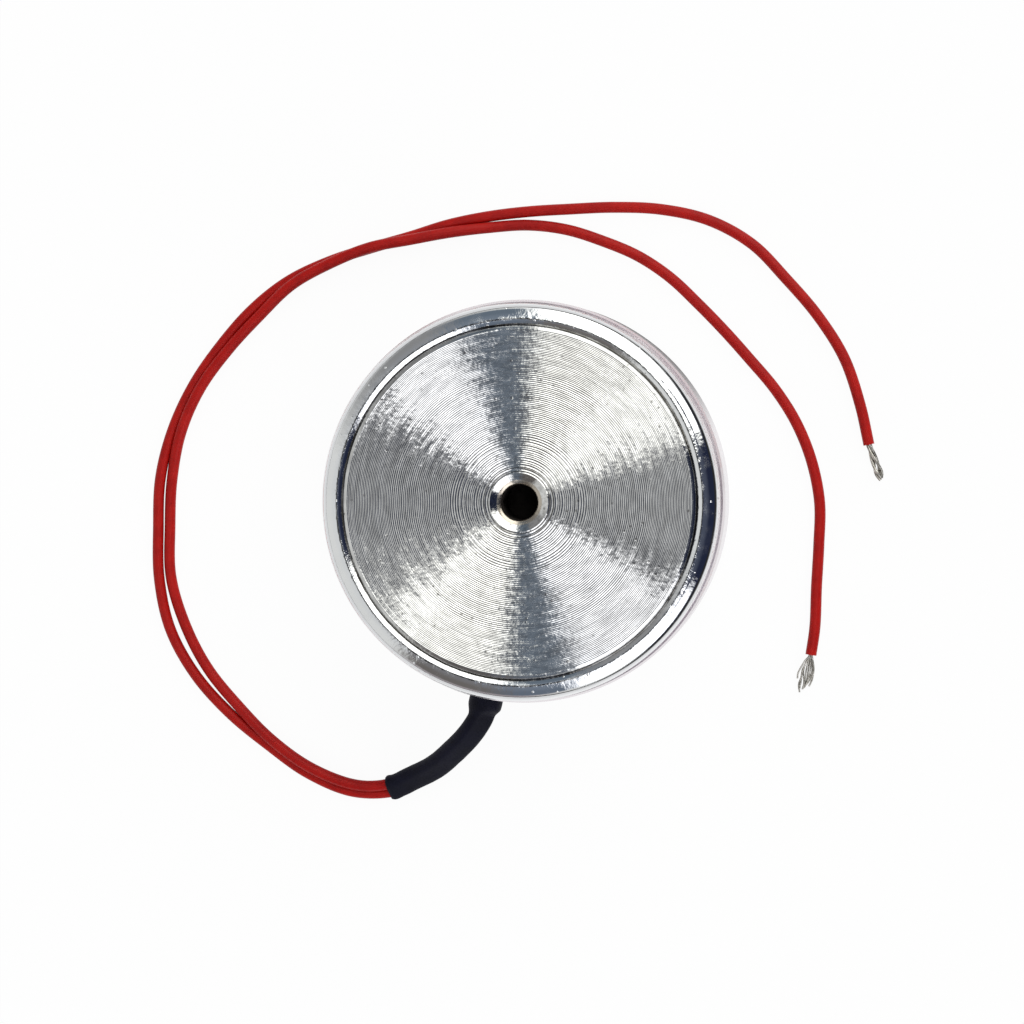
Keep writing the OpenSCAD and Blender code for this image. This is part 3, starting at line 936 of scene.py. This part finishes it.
def table_top():
    """White sheet on a dark table: it takes the object's shadow and looks plain white to the camera; to
    mirrored rays it glows, with a painted pool of light near the body and a painted shadow at its foot.
    """
    material, n = new_material("table_top")
    spot = n.add("ShaderNodeTexCoord").outputs["Object"]
    path = n.add("ShaderNodeLightPath").outputs
    seen = path["Is Camera Ray"]
    mirrored = n.math("MAXIMUM", path["Is Glossy Ray"], path["Is Transmission Ray"])
    reach = n.measure("DISTANCE", {0: spot, 1: (SHEET_X, 0, 0)})
    sheet = n.span(reach, *SHEET_EDGE_R, 1.0, SHEET_BEYOND)
    out = n.measure("LENGTH", {0: spot})
    y = n.add("ShaderNodeSeparateXYZ", {0: spot}).outputs[1]
    # Painted shadow: to mirrored rays the sheet darkens close to the body's foot on the +y side
    painted_foot_shadow = n.span(out, BODY_R, BODY_R + FOOT_REACH, FOOT_SHADE, 0.0)
    painted_foot_shadow = n.math("MULTIPLY", painted_foot_shadow, n.span(y, *FOOT_Y))
    # Painted pool of light: to mirrored rays the sheet is brighter near the body than further out
    glow = n.math("MULTIPLY", sheet, n.span(out, *SHEET_NEAR_R, 1.0, SHEET_FAR))
    glow = n.math("MULTIPLY", glow, n.math("SUBTRACT", 1.0, painted_foot_shadow))
    strength = n.math("MAXIMUM", seen, n.math("MULTIPLY", mirrored, glow))
    share = n.math("MULTIPLY_ADD", mirrored, n.math("MULTIPLY_ADD", sheet, -SHEET_SHADOW, 1.0),
                   n.math("MULTIPLY", seen, PAGE_SHARE))
    paper = n.add("ShaderNodeBsdfDiffuse", {"Color": (0.9, 0.9, 0.9, 1)})
    light = n.add("ShaderNodeEmission", {"Color": (1, 1, 1, 1), "Strength": strength})
    both = n.add("ShaderNodeMixShader", {0: share, 1: paper.outputs[0], 2: light.outputs[0]})
    n.add("ShaderNodeOutputMaterial", {"Surface": both.outputs[0]})
    return material


def make_floor():
    """Round table top just below the part."""
    sides = 96
    angles = [2 * math.pi * k / sides for k in range(sides)]
    mesh = bpy.data.meshes.new("floor")
    verts = [(FLOOR_R * math.cos(a), FLOOR_R * math.sin(a), -FLOOR_DROP) for a in angles]
    mesh.from_pydata(verts, [], [tuple(range(sides))])
    mesh.materials.append(table_top())
    floor = bpy.data.objects.new("floor", mesh)
    bpy.context.collection.objects.link(floor)


def make_cords():
    """The two leads with their sleeve and bare ends."""
    red = plastic("red_insulation", linear(155, 12, 9), linear(173, 20, 14), 0.45, 0.000004, 0.00002,
                  specular=0.18)
    black = plastic("black_sleeve", linear(9, 10, 24), linear(14, 15, 32), 0.6, 0.000006, 0.00004,
                    specular=0.13)
    tin = tinned_wire()
    sleeve = make_sleeve(black)
    ends = {
        "lead_1": make_strands("lead_1_wires", LEAD_1_POINTS, strand_fan, FAN_SEED, tin, "lead_1_strands"),
        "lead_2": make_strands("lead_2_wires", LEAD_2_POINTS, strand_rope, ROPE_SEED, tin, "lead_2_strands"),
    }
    for node, way, points in (("lead_1", -1, LEAD_1_POINTS), ("lead_2", 1, LEAD_2_POINTS)):
        piece, route = make_lead(node + "_insulation", way, points, red, node)


def dress_inner_nodes():
    """Finishes of the solids that keep their own shape inside the shell."""
    cream = plastic("moulded_bobbin", linear(214, 206, 186), linear(226, 219, 200),
                    0.45, 0.000004, 0.00001)
    amber = plastic("polyester_tape", linear(196, 150, 44), linear(214, 170, 62),
                    0.3, 0.000003, 0.00002)
    finishes = {
        "bobbin": cream, "coil": copper_winding(), "coil_tape": amber,
        "solder_joint_1": tinned_wire(), "solder_joint_2": tinned_wire(),
    }
    for node, material in finishes.items():
        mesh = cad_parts[node].data
        mesh.materials.clear()
        mesh.materials.append(material)


def main():
    scene = bpy.context.scene
    scene.view_settings.view_transform = "Standard"
    make_camera()
    make_cords()
    make_core(turned_steel())
    make_shell(plated_steel())
    make_potting(plastic("black_resin", linear(20, 20, 22), linear(28, 28, 30), 0.25, 0.000002, 0.00003))
    dress_inner_nodes()
    make_floor()
    studio_world()


main()
